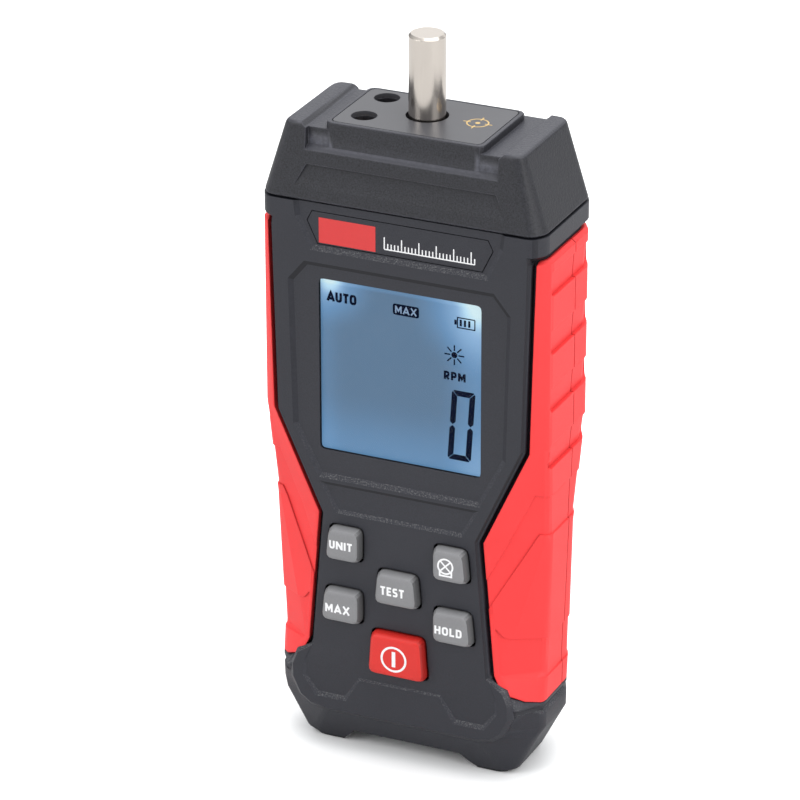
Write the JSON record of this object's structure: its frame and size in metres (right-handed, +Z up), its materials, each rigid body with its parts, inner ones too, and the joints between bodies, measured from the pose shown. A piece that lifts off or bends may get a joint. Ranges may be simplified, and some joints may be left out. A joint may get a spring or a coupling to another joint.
{
  "type": "laser tachometer",
  "caption": "Hand-held tachometer with a contact spindle on its head, optical sensor holes beside it, a display, rubber keys and soft side grips.",
  "frame": {"origin": "on the spindle axis at the level of the feet, the bottom centre of the bounding box", "axes": "+Z up along the spindle, the display and keys face -Y, +X to the right seen from the front"},
  "size_m": [0.0668, 0.0344, 0.1663],
  "materials": {
    "case_plastic": "fine matt texture",
    "head_plastic": "grained matt texture",
    "plate_plastic": "smooth satin",
    "grip_rubber": "soft matt",
    "key_rubber": "soft matt",
    "power_key_rubber": "soft matt",
    "window_glass": "clear and glossy",
    "lcd_glass": "lit from behind",
    "light_guide": "milky",
    "board": "solder mask",
    "switch_plastic": "moulded",
    "spindle_steel": "nickel plated and ground",
    "bearing_steel": "ground",
    "carrier_plastic": "moulded",
    "laser_brass": "turned",
    "lens_glass": "tinted and polished",
    "cell_jacket": "printed sleeve",
    "contact_metal": "plated spring steel",
    "screw_steel": "zinc plated"
  },
  "bodies": {
    "case": {"front_shell": "case_plastic", "rear_shell": "case_plastic", "head_cap": "head_plastic", "sensor_plate": "plate_plastic", "badge_plate": "case_plastic", "left_front_grip": "grip_rubber", "right_front_grip": "grip_rubber", "left_rear_grip": "grip_rubber", "right_rear_grip": "grip_rubber", "display_window": "window_glass", "lcd_panel": "lcd_glass", "backlight": "light_guide", "main_board": "board", "tact_switches": "switch_plastic", "upper_bearing": "bearing_steel", "lower_bearing": "bearing_steel", "sensor_carrier": "carrier_plastic", "fork_sensor": "switch_plastic", "laser_module": "laser_brass", "receiver_lens": "lens_glass", "receiver_diode": "switch_plastic", "cell_left": "cell_jacket", "cell_middle": "cell_jacket", "cell_right": "cell_jacket", "cell_springs": "contact_metal", "cell_plates": "contact_metal", "case_screws": "screw_steel"},
    "spindle": {"spindle": "spindle_steel", "encoder_disc": "switch_plastic", "retaining_clip": "bearing_steel"},
    "cover": {"battery_cover": "case_plastic"},
    "unit_key": {"unit_key": "key_rubber"},
    "light_key": {"light_key": "key_rubber"},
    "test_key": {"test_key": "key_rubber"},
    "max_key": {"max_key": "key_rubber"},
    "hold_key": {"hold_key": "key_rubber"},
    "power_key": {"power_key": "power_key_rubber"}
  },
  "joints": [
    {"name": "spindle_spin", "type": "hinge", "parent": "case", "child": "spindle", "pos_m": [0, 0, 0.14], "axis": [0, 0, 1], "continuous": true},
    {"name": "cover_lift", "type": "slide", "parent": "case", "child": "cover", "axis": [0, 1, 0], "range_m": [0, 0.03]},
    {"name": "unit_key_press", "type": "slide", "parent": "case", "child": "unit_key", "axis": [0, 1, 0], "range_m": [0, 0.0008], "stiffness_N_per_m": 1000},
    {"name": "light_key_press", "type": "slide", "parent": "case", "child": "light_key", "axis": [0, 1, 0], "range_m": [0, 0.0008], "stiffness_N_per_m": 1000},
    {"name": "test_key_press", "type": "slide", "parent": "case", "child": "test_key", "axis": [0, 1, 0], "range_m": [0, 0.0008], "stiffness_N_per_m": 1000},
    {"name": "max_key_press", "type": "slide", "parent": "case", "child": "max_key", "axis": [0, 1, 0], "range_m": [0, 0.0008], "stiffness_N_per_m": 1000},
    {"name": "hold_key_press", "type": "slide", "parent": "case", "child": "hold_key", "axis": [0, 1, 0], "range_m": [0, 0.0008], "stiffness_N_per_m": 1000},
    {"name": "power_key_press", "type": "slide", "parent": "case", "child": "power_key", "axis": [0, 1, 0], "range_m": [0, 0.0008], "stiffness_N_per_m": 1000}
  ]
}
